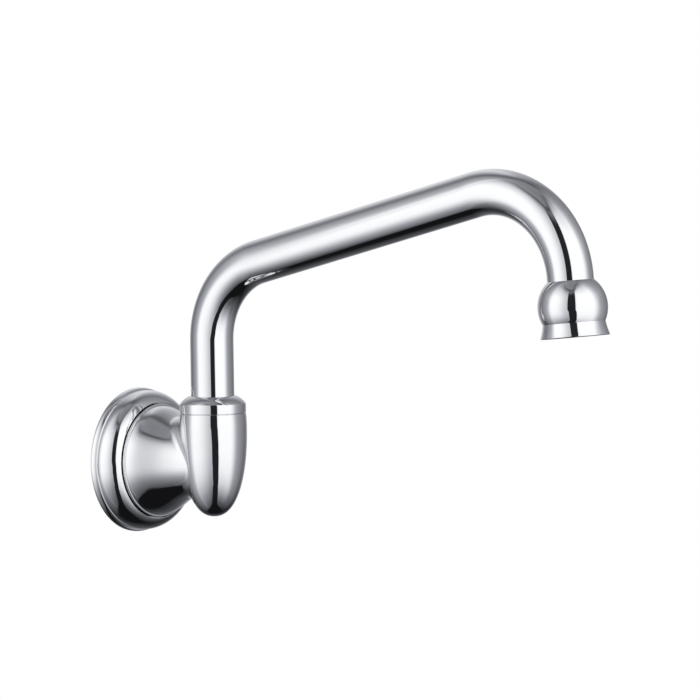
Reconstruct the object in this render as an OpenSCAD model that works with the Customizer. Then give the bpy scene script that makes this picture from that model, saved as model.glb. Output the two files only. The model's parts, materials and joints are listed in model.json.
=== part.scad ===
// Wall-mounted swivel spout for a sink or a kettle trough.
// Origin: centre of the escutcheon's wall face, on the axis of the neck.
// +X points away from the wall, +Z up. The spout swivels about a vertical axis. Millimetres.

/* [Spout tube] */
// Outside diameter of the spout tube
spout_d = 22; // [18:0.5:24]
// Wall of the spout tube
spout_wall = 1.2; // [0.8:0.1:1.8]
// Height of the riser's corner above the collar
riser_h = 60.5; // [55:0.5:140]
// Length of the arm from corner to corner
arm_l = 220.2; // [160:0.5:400]
// Slope of the arm above level, in degrees
arm_rise = 13.6; // [0:0.2:30]
// Centreline radius of the bend above the riser
riser_bend_r = 41; // [32:0.5:50]
// Centreline radius of the bend before the outlet
outlet_bend_r = 44; // [34:0.5:60]
// Tilt of the outlet away from plumb, in degrees
outlet_lean = 5; // [0:0.5:15]

/* [Swivel body] */
// Distance of the swivel axis from the wall
swivel_x = 50.5; // [48:0.5:70]
// Largest diameter of the bullet-shaped body
body_d = 34.3; // [33.8:0.1:40]
// Height of that largest diameter above the neck axis
belly_z = 17.7; // [14:0.1:20]
// How much the body draws in again at its top edge, on the diameter
top_draw = 0.7; // [0:0.1:2]
// Height of the body's top face above the neck axis
body_top_z = 25.2; // [24.4:0.1:32]
// Depth of the body's nose below the neck axis
nose_z = 27.2; // [25:0.1:36]
// Sharpness of the nose: 2 is a plain ellipse
nose_power = 2.2; // [2:0.05:2.6]
// Fullness of the nose: 0.5 is a plain ellipse
nose_fullness = 0.43; // [0.38:0.01:0.5]

/* [Neck] */
// Diameter of the neck's base, where it enters the escutcheon
neck_base_d = 56.6; // [52:0.1:60]
// Diameter that the flared neck narrows towards
neck_waist_d = 22.4; // [20:0.1:26]
// Length over which the flare loses half its swell
neck_flare_l = 17.7; // [14:0.1:20]
// Height of the small step round the neck's foot
foot_proud = 0.9; // [0.5:0.1:1.2]
// Length of the neck's foot that stands out of the escutcheon
foot_l = 1.4; // [1:0.1:2]
// Radius of the blend between the neck and the body
blend_r = 5; // [3:0.25:6]
// Wall of the casting around the hollow behind the neck
neck_wall = 3.2; // [2.5:0.1:4]

/* [Escutcheon] */
// Diameter of the escutcheon at the wall
escutcheon_d = 74.2; // [70:0.2:90]
// Depth of the escutcheon from the wall to its mouth
escutcheon_h = 14.4; // [13:0.1:18]
// Depth of the rim, from the wall to the foot of the step
rim_l = 2.7; // [2.2:0.1:3.4]
// Radius of the rim's curved face
rim_round_r = 3.5; // [3:0.1:5]
// Diameter of the step's crest
step_d = 71.8; // [68:0.2:74]
// Radius of the step's bowed face
step_bow_r = 10.2; // [9.5:0.1:12]
// Thickness of the escutcheon's metal
escutcheon_wall = 1.5; // [1:0.1:2]
// Depth of the seat that the neck's base sinks into
seat_depth = 5.5; // [4:0.1:7]

/* [Inlet] */
// Major diameter of the G 1/2 inlet thread
inlet_thread_d = 20.955; // [20.9:0.005:21]
// Length of thread behind the wall face
inlet_reach = 16; // [10:0.5:25]
// Length of thread screwed into the neck
inlet_grip = 12; // [10:0.5:13]
// Bore of the inlet nipple
inlet_bore_d = 12; // [9:0.5:14]
// Width across flats of the nipple's key socket
key_af = 12.5; // [11:0.5:14.5]
// Depth of the key socket
key_depth = 8; // [5:0.5:12]
// Diameter of the casting's boss around the inlet thread
inlet_boss_d = 29; // [27:0.5:32]
// Bore that carries the water through the neck
waterway_d = 14; // [10:0.5:15]

/* [Swivel socket] */
// Bore of the socket that the spigot turns in
socket_d = 24; // [23:0.1:24.6]
// Diameter of the collar nut's thread in the body
collar_thread_d = 29; // [28.6:0.1:29.4]
// Height of the socket's shoulder above the neck axis
shoulder_z = 16; // [14:0.1:16.4]
// Height of the spigot's foot above the neck axis
spigot_foot_z = 7.5; // [7:0.1:8]
// Bore of the spigot
spigot_bore_d = 17; // [14:0.5:18]
// Height of the spigot's flange
flange_t = 1.7; // [1.4:0.1:2.2]
// Thickness of the slip washers on both sides of the flange
slip_t = 0.6; // [0.4:0.1:0.8]
// Height of the O-ring grooves
groove_w = 2.2; // [2:0.1:2.4]
// Depth of the O-ring grooves
groove_depth = 1.65; // [1.4:0.05:1.7]
// Land between the grooves
groove_land = 1.6; // [1.4:0.1:1.8]

/* [Collar nut] */
// Height of the collar nut above the body
collar_h = 8.8; // [8:0.1:12]
// Radius of the collar's domed top
collar_dome_r = 11.7; // [11:0.1:13]
// Radius of the rounding at the collar's shoulder
collar_edge_r = 1; // [0.6:0.1:1.4]
// Thickness of the collar's lip around the tube
collar_lip_t = 2.6; // [2:0.1:3]
// Chamfer of the collar's lower edge, which makes the seam line
seam_chamfer = 0.45; // [0.2:0.05:0.8]
// Wall of the guide bush inside the collar
bush_t = 0.7; // [0.5:0.05:0.75]

/* [Outlet bell] */
// Diameter of the ball at the end of the spout
ball_d = 33.1; // [32:0.1:36]
// Length of the bell from the ball's top to its rim
bell_l = 26.6; // [26.5:0.1:30]
// Length of the flared lip below the ball
lip_l = 6.8; // [6.5:0.1:9]
// Diameter of the lip's rim
rim_d = 32.7; // [32:0.1:36]
// Radius of the hollow in the lip's outer face
lip_hollow_r = 30; // [20:1:60]
// Thickness of the lip at its rim
rim_t = 1; // [0.8:0.1:1.2]
// Length of tube brazed into the bell
bell_socket_l = 6.2; // [5:0.1:7.5]

/* [Aerator] */
// Diameter of the aerator's thread
aerator_thread_d = 24; // [23.6:0.1:24.4]
// Length of the aerator's shell
aerator_l = 12; // [11:0.1:13]
// Wall of the aerator's shell
aerator_wall = 1.5; // [1:0.1:1.7]
// Thickness of the aerator's washer
aerator_washer_t = 1.5; // [1:0.1:2]
// Thickness of the outlet grid
grid_t = 3; // [2:0.1:3.6]
// Pitch of the outlet grid's cells
grid_pitch = 2.4; // [2.2:0.1:3.2]
// Thickness of the outlet grid's bars
grid_bar = 0.6; // [0.4:0.05:0.8]

/* [Hidden] */
$fn = 96;
eps = 0.01;

// Clearances
swivel_gap = 0.05;      // spigot in its socket and sleeve in its bush, on the radius
play = 0.05;            // end play above and below the flange
braze_gap = 0.03;       // tube in a brazed socket, on the radius
thread_gap = 0.05;      // male in female thread, on the radius
mouth_gap = 0.15;       // tube in the collar's mouth, on the radius
neck_gap = 0.5;         // neck's foot in the escutcheon's mouth, on the radius
press_gap = 0.03;       // bush in the collar, on the radius
ring_gap = 0.08;        // O-ring in the socket's bore, on the radius
joint_gap = 0.03;       // end of a length of tube, short of the joint
joint_proud = 0.02;     // hairline bead at a joint, on the radius
joint_reach = 2;        // half the length of the ring inside a joint

// Escutcheon and its foam ring
mouth_land = 0.3;       // width of the flat edge at the mouth
disc_edge_t = 0.8;      // straight part of the disc's edge
gasket_w = 3;
gasket_seat = 0.75;     // ledge that the foam ring bears on, outside the hollow
wall_gasket_t = 1.4;
disc_r = escutcheon_d / 2;
foot_r = neck_base_d / 2 + foot_proud;
seat_bore_r = foot_r + neck_gap;
seat_wall_r = seat_bore_r + escutcheon_wall;
land_r = seat_bore_r + mouth_land;
crest_r = step_d / 2;
bow_x = escutcheon_h - sqrt(pow(step_bow_r, 2) - pow(land_r - crest_r + step_bow_r, 2));
bow_c = [crest_r - step_bow_r, bow_x];
hollow_bow_r = step_bow_r - escutcheon_wall;
hollow_r = bow_c[0] + sqrt(pow(hollow_bow_r, 2) - pow(wall_gasket_t - bow_x, 2));
gasket_r = hollow_r + gasket_seat;
rim_round_c = [disc_r - rim_round_r, disc_edge_t];

// Spout centreline, in the plane of the swivel axis
spout_r = spout_d / 2;
bore_r = spout_r - spout_wall;
collar_top_z = body_top_z + collar_h;
riser_turn = 90 - arm_rise;
outlet_turn = 90 + arm_rise - outlet_lean;
riser_cut = riser_bend_r * tan(riser_turn / 2);
outlet_cut = outlet_bend_r * tan(outlet_turn / 2);
along_arm = [cos(arm_rise), sin(arm_rise)];
along_outlet = [sin(outlet_lean), -cos(outlet_lean)];
corner_1 = [swivel_x, collar_top_z + riser_h];
corner_2 = corner_1 + arm_l * along_arm;
arm_start = corner_1 + riser_cut * along_arm;
arm_straight_l = arm_l - riser_cut - outlet_cut;
bend_1_c = [swivel_x + riser_bend_r, corner_1[1] - riser_cut];
arm_end = arm_start + arm_straight_l * along_arm;
bend_2_c = arm_end + outlet_bend_r * [along_arm[1], -along_arm[0]];
outlet_end = corner_2 + outlet_cut * along_outlet;

// Swivel stack, from the shoulder up
flange_z = shoulder_z + slip_t + play;
flange_top_z = flange_z + flange_t;
skirt_z = flange_top_z + play + slip_t;
socket_r = socket_d / 2;
spigot_r = socket_r - swivel_gap;
thread_r = collar_thread_d / 2;
sleeve_wall = 1.2;
sleeve_r = spout_r + sleeve_wall;
sleeve_foot_wall = 1.6;
tube_foot_z = flange_top_z + sleeve_foot_wall;
collar_ceiling_z = collar_top_z - collar_lip_t;
sleeve_room = 0.6;      // space above the spigot's sleeve
bush_room = 0.3;        // space above the guide bush
sleeve_top_z = collar_ceiling_z - sleeve_room;
bush_top_z = collar_ceiling_z - bush_room;
bush_bore_r = sleeve_r + swivel_gap;
bush_r = bush_bore_r + bush_t;
collar_bore_r = bush_r + press_gap;
flange_inset = 0.5;     // flange's edge, inside the thread
washer_inset = 0.2;     // edges of washers, inside what holds them
flange_r = thread_r - flange_inset;
washer_r = thread_r - washer_inset;
groove_floor_r = spigot_r - groove_depth;
spigot_run = flange_z - spigot_foot_z;
lower_groove_z = spigot_foot_z + (spigot_run - 2 * groove_w - groove_land) / 2;
upper_groove_z = lower_groove_z + groove_w + groove_land;
o_ring_r = (groove_depth + swivel_gap - ring_gap) / 2;

// Collar nut
collar_r = body_d / 2 - top_draw / 2;
mouth_r = spout_r + mouth_gap;
collar_mouth_edge = 0.9;
dome_inset = 9.6;       // centre of the dome's curve, inside the collar's side
collar_crown_r = mouth_r + collar_mouth_edge;

// Casting
neck_base_r = neck_base_d / 2;
neck_waist_r = neck_waist_d / 2;
foot_end_x = escutcheon_h + foot_l;
foot_round_r = 0.6;
seat_floor_x = escutcheon_h - seat_depth;
seat_gasket_t = 1;
neck_back_x = seat_floor_x + seat_gasket_t;
skin_back_x = escutcheon_h + foot_l / 2;
chamber_z = -8;
relief_l = 12;
inlet_boss_r = inlet_boss_d / 2;
inlet_thread_r = inlet_thread_d / 2;
inlet_end_x = neck_back_x + inlet_grip;

// Rays that find the casting's skin: their start, their number and the halvings along each
ray_x = swivel_x - 8.5;
ray_rings = 46;
ray_sides = 84;
ray_steps = 18;
trim_x = swivel_x - body_d / 2 - 3;
trim_z = body_top_z + 2;

// Outlet bell, measured along the outlet from the end of the bend
ball_r = ball_d / 2;
bell_top_s = 1.8;
ball_s = bell_top_s + sqrt(ball_r * ball_r - spout_r * spout_r);
rim_s = bell_top_s + bell_l;
crease_s = rim_s - lip_l;
crease_r = sqrt(ball_r * ball_r - pow(crease_s - ball_s, 2));
rim_r = rim_d / 2;
tube_end_s = bell_top_s + bell_socket_l;
socket_lip_t = 1.2;
washer_s = tube_end_s + socket_lip_t;
aerator_s = washer_s + aerator_washer_t;
aerator_end_s = aerator_s + aerator_l;
aerator_r = aerator_thread_d / 2 - thread_gap;
insert_r = aerator_r - aerator_wall - press_gap;
aerator_lip = 0.8;
screen_t = 0.5;
screen_end_s = aerator_s + screen_t;
washer_lap = 0.8;       // aerator washer's hole, inside the tube's bore
insert_rim = 0.9;       // wall of the rims that space the screen, the plate and the grid
grid_s = aerator_end_s - aerator_lip - grid_t;

// ---------- Helpers ----------

// Turns a profile (radius, distance from the wall) about the neck axis
module turned_about_neck() {
    rotate([0, 90, 0])
        rotate_extrude()
            children();
}

// Turns a profile (radius, height) about the swivel axis
module turned_about_swivel() {
    translate([swivel_x, 0, 0])
        rotate_extrude()
            children();
}

// Turns a profile (radius, distance along the outlet) about the outlet's axis
module turned_about_outlet() {
    at_outlet()
        rotate_extrude()
            children();
}

// Places its children with +Z along the outlet, zero at the end of the bend
module at_outlet() {
    translate([outlet_end[0], 0, outlet_end[1]])
        rotate([0, 180 - outlet_lean, 0])
            children();
}

// A ring's profile: inner and outer radius, from one height to another
module band(r_in, r_out, from, to) {
    translate([r_in, from])
        square([r_out - r_in, to - from]);
}

// Section of the tube
module tube_section() {
    difference() {
        circle(r = spout_r);
        circle(r = bore_r);
    }
}

// Places its children at point p in the spout's plane, with +Z along direction d
module at_spout(p, d) {
    translate([p[0], 0, p[1]])
        rotate([0, atan2(d[0], d[1]), 0])
            children();
}

// A straight length of tube from point p along direction d
module straight_tube(p, d, l) {
    at_spout(p, d)
        linear_extrude(height = l)
            tube_section();
}

// A bend of the tube around centre c, short of its joints at both ends
module tube_bend(c, r, from, sweep) {
    short = joint_gap / r * 180 / PI;
    translate([c[0], 0, c[1]])
        rotate([90, 0, 0])
            rotate([0, 0, from + short])
                rotate_extrude(angle = sweep - 2 * short)
                    translate([r, 0])
                        tube_section();
}

// Ring inside the wall that joins two lengths of tube at point p, across direction d
module joint(p, d) {
    mid_r = (spout_r + bore_r) / 2;
    at_spout(p, d)
        rotate_extrude()
            polygon([
                [bore_r - joint_proud, 0],
                [mid_r, -joint_reach],
                [spout_r + joint_proud, 0],
                [mid_r, joint_reach]
            ]);
}

// ---------- Shape of the casting ----------

// Radius of the bullet at height z, and how fast it changes there
function bullet_t(z) = min(1, max(0, (belly_z - z) / (belly_z + nose_z)));
function bullet_top_t(z) = max(0, (z - belly_z) / (body_top_z - belly_z));
function bullet_r(z) =
    body_d / 2 * pow(1 - pow(bullet_t(z), nose_power), nose_fullness)
    - top_draw / 2 * pow(bullet_top_t(z), 2);
function bullet_slope(z) = (bullet_r(z + 0.05) - bullet_r(z - 0.05)) / 0.1;

// Radius of the flared neck at distance x from the wall, and how fast it changes there
function flare_t(x) = max(0, x - escutcheon_h) / neck_flare_l;
function neck_r(x) = neck_waist_r + (neck_base_r - neck_waist_r) / (1 + pow(flare_t(x), 2));
function neck_slope(x) = (neck_r(x + 0.05) - neck_r(x - 0.05)) / 0.1;

// Distance outside a turned surface, from the radius, the surface's radius and its slope
function outside(r, surface_r, slope) = (r - surface_r) / sqrt(1 + slope * slope);

// A ball of radius blend_r rolled in the corner of two surfaces: d1 and d2 are the distances
// outside them and c is the cosine between their normals. Negative inside the blended casting.
function rolled(d1, d2, c, s2) =
    let(u = blend_r - d1, v = blend_r - d2, a = u - v * c, b = v - u * c)
    (s2 < 0.0001 || a <= 0 || b <= 0)
        ? min(d1, d2)
        : blend_r - sqrt(max(0, (u * u + v * v - 2 * u * v * c) / s2));

function casting(p) =
    let(
        q = [p[0] - swivel_x, p[1]],
        rb = norm(q),
        sb = bullet_slope(p[2]),
        d_bullet = outside(rb, bullet_r(p[2]), sb),
        rn = norm([p[1], p[2]]),
        sn = neck_slope(p[0]),
        d_neck = outside(rn, neck_r(p[0]), sn),
        n_bullet = [q[0], q[1], -rb * sb] / max(eps, rb * sqrt(1 + sb * sb)),
        n_neck = [-rn * sn, p[1], p[2]] / max(eps, rn * sqrt(1 + sn * sn)),
        c = n_bullet * n_neck
    )
    p[0] > swivel_x ? d_bullet : rolled(d_bullet, d_neck, c, 1 - c * c);

// The casting's skin is found along rays from a point in the neck, by halving
function on_ray(d, t) = [ray_x, 0, 0] + t * d;
function skin(d, lo, hi, n) =
    n == 0
        ? on_ray(d, (lo + hi) / 2)
        : casting(on_ray(d, (lo + hi) / 2)) < 0
            ? skin(d, (lo + hi) / 2, hi, n - 1)
            : skin(d, lo, (lo + hi) / 2, n - 1);

// Length of a ray: it stops at a plane inside the neck's foot, and just above the body's top
// where it leaves through the bullet and not through the neck
function ray_end(d) = min(
    d[0] < 0 ? (skin_back_x - ray_x) / d[0] : 1000,
    d[2] > 0 && ray_x + d[0] * trim_z / d[2] > trim_x ? trim_z / d[2] : 1000,
    swivel_x);

// The blended outside of the casting as one closed skin, flat where it stands in the neck's foot
module casting_skin() {
    from = atan2(neck_base_r, ray_x - skin_back_x);
    points = [
        for (i = [0 : ray_rings - 1])
            for (j = [0 : ray_sides - 1])
                let(
                    a = from + (180 - from) * (i + 0.35 * min(1, i)) / ray_rings,
                    b = 360 * j / ray_sides,
                    d = [-cos(a), sin(a) * cos(b), sin(a) * sin(b)],
                    end = ray_end(d)
                )
                i == 0 ? on_ray(d, end) : skin(d, 1, end, ray_steps)
    ];
    front = [skin([1, 0, 0], 1, swivel_x, ray_steps)];
    back = [for (j = [0 : ray_sides - 1]) j];
    sides = [
        for (i = [0 : ray_rings - 2])
            for (j = [0 : ray_sides - 1])
                let(k = (j + 1) % ray_sides, p = i * ray_sides, q = p + ray_sides)
                [p + j, q + j, q + k, p + k]
    ];
    cap = [
        for (j = [0 : ray_sides - 1])
            let(k = (j + 1) % ray_sides, p = (ray_rings - 1) * ray_sides)
            [p + k, p + j, ray_rings * ray_sides]
    ];
    polyhedron(points = concat(points, front), faces = concat([back], sides, cap), convexity = 6);
}

// ---------- Sub-parts ----------

// Cast body: bullet, flared neck, swivel socket and waterway in one piece
module body() {
    color("gainsboro")
        difference() {
            union() {
                casting_skin();
                neck_foot();
            }
            translate([trim_x, -body_d, body_top_z])
                cube([2 * body_d, 2 * body_d, body_top_z]);
            body_socket();
            body_waterway();
            neck_relief();
        }
}

// Foot of the neck, which ends in a small rounded step where it comes out of the escutcheon
module neck_foot() {
    turned_about_neck() {
        band(0, foot_r, neck_back_x, foot_end_x - foot_round_r);
        band(0, foot_r - foot_round_r, neck_back_x, foot_end_x);
        translate([foot_r - foot_round_r, foot_end_x - foot_round_r])
            circle(r = foot_round_r);
    }
}

// Threaded counterbore, socket and rounded chamber below it
module body_socket() {
    turned_about_swivel() {
        band(0, thread_r, shoulder_z, body_top_z + 1);
        band(0, socket_r, chamber_z, shoulder_z + eps);
        intersection() {
            translate([0, chamber_z])
                circle(r = socket_r);
            band(0, socket_r, chamber_z - socket_r, chamber_z + eps);
        }
    }
}

// Inlet thread and the bore from it to the chamber
module body_waterway() {
    turned_about_neck() {
        band(0, inlet_thread_r + thread_gap, neck_back_x - 1, inlet_end_x);
        band(0, waterway_d / 2, inlet_end_x - eps, swivel_x - socket_r / 2);
    }
}

// Cored hollow behind the neck, around the inlet boss
module neck_relief() {
    deep_x = neck_back_x + relief_l;
    turned_about_neck()
        polygon([
            [inlet_boss_r, neck_back_x - 1],
            [neck_base_r - neck_wall, neck_back_x - 1],
            [neck_base_r - neck_wall, escutcheon_h - 1],
            [neck_r(deep_x) - neck_wall, deep_x],
            [inlet_boss_r, deep_x]
        ]);
}

// Stepped wall plate with a seat for the neck's base
module escutcheon() {
    web_x = seat_floor_x - escutcheon_wall;
    color("silver")
        turned_about_neck()
            difference() {
                union() {
                    intersection() {
                        translate(bow_c)
                            circle(r = step_bow_r);
                        band(0, crest_r + 1, 0, escutcheon_h);
                    }
                    band(0, land_r, 0, escutcheon_h);
                    band(0, disc_r, 0, disc_edge_t);
                    band(0, rim_round_c[0], 0, rim_l);
                    intersection() {
                        translate(rim_round_c)
                            circle(r = rim_round_r);
                        band(0, disc_r + 1, disc_edge_t / 2, rim_l);
                    }
                }
                band(-1, seat_bore_r, seat_floor_x, escutcheon_h + 1);
                band(-1, inlet_thread_r + 1, -1, escutcheon_h);
                difference() {
                    union() {
                        translate(bow_c)
                            circle(r = hollow_bow_r);
                        band(-1, bow_c[0], -1, escutcheon_h - escutcheon_wall);
                        band(-1, gasket_r, -1, wall_gasket_t);
                    }
                    band(-2, seat_wall_r, web_x, escutcheon_h + 1);
                }
            }
}

// Foam ring between the escutcheon and the wall
module wall_gasket() {
    color("dimgray")
        turned_about_neck()
            band(gasket_r - gasket_w, gasket_r - press_gap, 0, wall_gasket_t);
}

// Rubber ring under the neck's base
module seat_gasket() {
    color("black")
        turned_about_neck()
            band(neck_base_r - neck_wall + washer_inset, neck_base_r - washer_inset, seat_floor_x, neck_back_x);
}

// Nipple between the pipe in the wall and the neck: two threads with a plain waist
module inlet_nipple() {
    chamfer = 1;
    waist_r = inlet_thread_r - 1.4;
    key_r = key_af / 2 / cos(30);
    color("goldenrod")
        difference() {
            turned_about_neck()
                polygon([
                    [inlet_bore_d / 2, -inlet_reach],
                    [inlet_thread_r - chamfer, -inlet_reach],
                    [inlet_thread_r, chamfer - inlet_reach],
                    [inlet_thread_r, 0],
                    [waist_r, 0],
                    [waist_r, seat_floor_x],
                    [inlet_thread_r, seat_floor_x],
                    [inlet_thread_r, inlet_end_x - chamfer],
                    [inlet_thread_r - chamfer, inlet_end_x],
                    [inlet_bore_d / 2, inlet_end_x]
                ]);
            translate([-inlet_reach - 1, 0, 0])
                rotate([0, 90, 0])
                    cylinder(r = key_r, h = key_depth + 1, $fn = 6);
        }
}

// Domed nut that screws into the body and holds the spigot down
module collar_nut() {
    dome_c_r = collar_r - dome_inset;
    crown_c_z = sqrt(pow(collar_dome_r, 2) - pow(collar_crown_r - dome_c_r, 2));
    dome_c = [dome_c_r, collar_top_z - crown_c_z];
    edge_r = collar_r - collar_edge_r;
    edge_reach = collar_dome_r - collar_edge_r;
    edge_z = dome_c[1] + sqrt(pow(edge_reach, 2) - pow(edge_r - dome_c[0], 2));
    edge_a = atan2(edge_z - dome_c[1], edge_r - dome_c[0]);
    touch = dome_c + collar_dome_r * [cos(edge_a), sin(edge_a)];
    color("gainsboro")
        turned_about_swivel()
            difference() {
                union() {
                    band(0, thread_r - thread_gap, skirt_z, body_top_z + 1);
                    polygon([
                        [0, body_top_z],
                        [collar_r - seam_chamfer, body_top_z],
                        [collar_r, body_top_z + seam_chamfer],
                        [collar_r, edge_z],
                        [0, edge_z]
                    ]);
                    translate([edge_r, edge_z])
                        circle(r = collar_edge_r);
                    intersection() {
                        translate(dome_c)
                            circle(r = collar_dome_r);
                        polygon([
                            [0, edge_z - 1],
                            [edge_r, edge_z - 1],
                            [edge_r, edge_z],
                            touch,
                            [touch[0], collar_top_z],
                            [0, collar_top_z]
                        ]);
                    }
                }
                band(-1, collar_bore_r, skirt_z - 1, collar_ceiling_z);
                band(-1, mouth_r, skirt_z, collar_top_z + 1);
            }
}

// Acetal bush that steadies the spigot's sleeve in the collar nut
module guide_bush() {
    color("ivory")
        turned_about_swivel()
            band(bush_bore_r, bush_r, skirt_z, bush_top_z);
}

// Acetal washer between the flange and the collar nut
module upper_slip_washer() {
    color("ivory")
        turned_about_swivel()
            band(bush_bore_r, washer_r, skirt_z - slip_t, skirt_z);
}

// Acetal washer between the shoulder and the flange
module lower_slip_washer() {
    color("ivory")
        turned_about_swivel()
            band(socket_r + 0.1, washer_r, shoulder_z, shoulder_z + slip_t);
}

// Turned spigot brazed on the foot of the tube: flange, sleeve and two O-ring grooves
module swivel_spigot() {
    lead = 0.6;
    color("darkkhaki")
        turned_about_swivel()
            difference() {
                union() {
                    polygon([
                        [0, spigot_foot_z],
                        [spigot_r - lead, spigot_foot_z],
                        [spigot_r, spigot_foot_z + lead],
                        [spigot_r, flange_z],
                        [0, flange_z]
                    ]);
                    band(0, flange_r, flange_z, flange_top_z);
                    band(0, sleeve_r, flange_top_z, sleeve_top_z);
                }
                band(-1, spigot_bore_d / 2, spigot_foot_z - 1, sleeve_top_z);
                band(-1, spout_r + braze_gap, tube_foot_z, sleeve_top_z + 1);
                for (z = [lower_groove_z, upper_groove_z])
                    band(groove_floor_r, spigot_r + 1, z, z + groove_w);
            }
}

// O-ring in the groove at height z
module o_ring(z) {
    color("black")
        turned_about_swivel()
            translate([groove_floor_r + o_ring_r, z + o_ring_r])
                circle(r = o_ring_r, $fn = 32);
}

module upper_o_ring() {
    o_ring(upper_groove_z);
}

module lower_o_ring() {
    o_ring(lower_groove_z);
}

// Bent tube: riser, bend, rising arm, bend and tail
module spout_tube() {
    gap = joint_gap;
    color("gainsboro") {
        straight_tube([swivel_x, tube_foot_z], [0, 1], bend_1_c[1] - tube_foot_z - gap);
        joint([swivel_x, bend_1_c[1]], [0, 1]);
        tube_bend(bend_1_c, riser_bend_r, 90 + arm_rise, riser_turn);
        joint(arm_start, along_arm);
        straight_tube(arm_start + gap * along_arm, along_arm, arm_straight_l - 2 * gap);
        joint(arm_end, along_arm);
        tube_bend(bend_2_c, outlet_bend_r, outlet_lean, outlet_turn);
        joint(outlet_end, along_outlet);
        straight_tube(outlet_end + gap * along_outlet, along_outlet, tube_end_s - gap);
    }
}

// Centre of an arc of radius r through p and q, on the outer side
function arc_centre(p, q, r) =
    let(m = (p + q) / 2, d = (q - p) / norm(q - p), h = norm(q - p) / 2)
    m + sqrt(r * r - h * h) * [d[1], -d[0]];

// Ball and flared lip in one turned piece, with a socket for the tube and one for the aerator
module outlet_bell() {
    rim_round = rim_t / 2;
    rim_c = [rim_r - rim_round, rim_s - rim_round];
    lip_foot = [crease_r, crease_s];
    lip_end = [rim_r, rim_c[1]];
    thread_runout = 0.5;
    overlap = 0.5;
    flare_s = aerator_end_s - thread_runout;
    color("gainsboro")
        turned_about_outlet()
            difference() {
                union() {
                    intersection() {
                        translate([0, ball_s])
                            circle(r = ball_r);
                        band(0, ball_r + 1, bell_top_s, crease_s);
                    }
                    difference() {
                        polygon([
                            [0, crease_s - 1],
                            [crease_r - overlap, crease_s - 1],
                            lip_foot,
                            lip_end,
                            [0, rim_c[1]]
                        ]);
                        translate(arc_centre(lip_foot, lip_end, lip_hollow_r))
                            circle(r = lip_hollow_r, $fn = 360);
                    }
                    translate(rim_c)
                        circle(r = rim_round);
                }
                band(-1, spout_r + braze_gap, 0, tube_end_s);
                band(-1, bore_r, 0, washer_s + 1);
                band(-1, aerator_thread_d / 2, washer_s, flare_s);
                polygon([
                    [-1, flare_s - eps],
                    [aerator_thread_d / 2, flare_s - eps],
                    [rim_r - rim_t, rim_c[1]],
                    [rim_r - rim_t, rim_s + 1],
                    [-1, rim_s + 1]
                ]);
            }
}

// Rubber washer above the aerator
module aerator_washer() {
    color("black")
        turned_about_outlet()
            band(bore_r - washer_lap, aerator_r - washer_inset, washer_s, aerator_s);
}

// Threaded shell of the aerator, with two slots for a key
module aerator_shell() {
    slot_w = 3;
    slot_depth = 1.4;
    color("silver")
        difference() {
            turned_about_outlet()
                difference() {
                    band(0, aerator_r, aerator_s, aerator_end_s);
                    band(-1, insert_r + press_gap, aerator_s - 1, aerator_end_s - aerator_lip);
                    band(-1, insert_r - aerator_lip, aerator_s, aerator_end_s + 1);
                }
            at_outlet()
                translate([-aerator_thread_d, -slot_w / 2, aerator_end_s - slot_depth])
                    cube([2 * aerator_thread_d, slot_w, slot_depth + 1]);
        }
}

// Steel screen at the aerator's inlet
module aerator_screen() {
    hole = 0.7;
    pitch = 2.4;
    rings = 3;
    color("lightsteelblue")
        at_outlet()
            translate([0, 0, aerator_s])
                linear_extrude(height = screen_t)
                    difference() {
                        circle(r = insert_r);
                        circle(r = hole);
                        for (k = [1 : rings])
                            for (i = [0 : 6 * k - 1])
                                rotate(60 * i / k)
                                    translate([k * pitch, 0])
                                        circle(r = hole);
                    }
}

// Cup with the ring of jets that draws in air: it stands on the grid and carries the screen
module jet_plate() {
    plate_s = screen_end_s + 0.8;
    plate_t = 2.4;
    jets = 18;
    jet_r = 0.55;
    jet_ring_r = 7.4;
    color("white")
        difference() {
            turned_about_outlet() {
                band(0, insert_r, plate_s, plate_s + plate_t);
                band(insert_r - insert_rim, insert_r, screen_end_s, grid_s);
            }
            at_outlet()
                for (i = [0 : jets - 1])
                    rotate([0, 0, 360 * i / jets])
                        translate([jet_ring_r, 0, plate_s - 1])
                            cylinder(r = jet_r, h = plate_t + 2);
        }
}

// Grid that straightens the stream at the outlet
module outlet_grid() {
    cells = floor((insert_r - insert_rim) / grid_pitch);
    cell = grid_pitch - grid_bar;
    color("white")
        at_outlet()
            translate([0, 0, grid_s])
                linear_extrude(height = grid_t)
                    difference() {
                        circle(r = insert_r);
                        for (i = [-cells : cells])
                            for (j = [-cells : cells])
                                if (norm([abs(i) + 0.5, abs(j) + 0.5]) * grid_pitch < insert_r - insert_rim)
                                    translate([i * grid_pitch, j * grid_pitch])
                                        square(cell, center = true);
                    }
}

body();
escutcheon();
wall_gasket();
seat_gasket();
inlet_nipple();
collar_nut();
guide_bush();
upper_slip_washer();
lower_slip_washer();
swivel_spigot();
upper_o_ring();
lower_o_ring();
spout_tube();
outlet_bell();
aerator_washer();
aerator_shell();
aerator_screen();
jet_plate();
outlet_grid();
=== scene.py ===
import json
import math

import bmesh
import bpy
import numpy as np
from mathutils import Matrix, Vector


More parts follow.
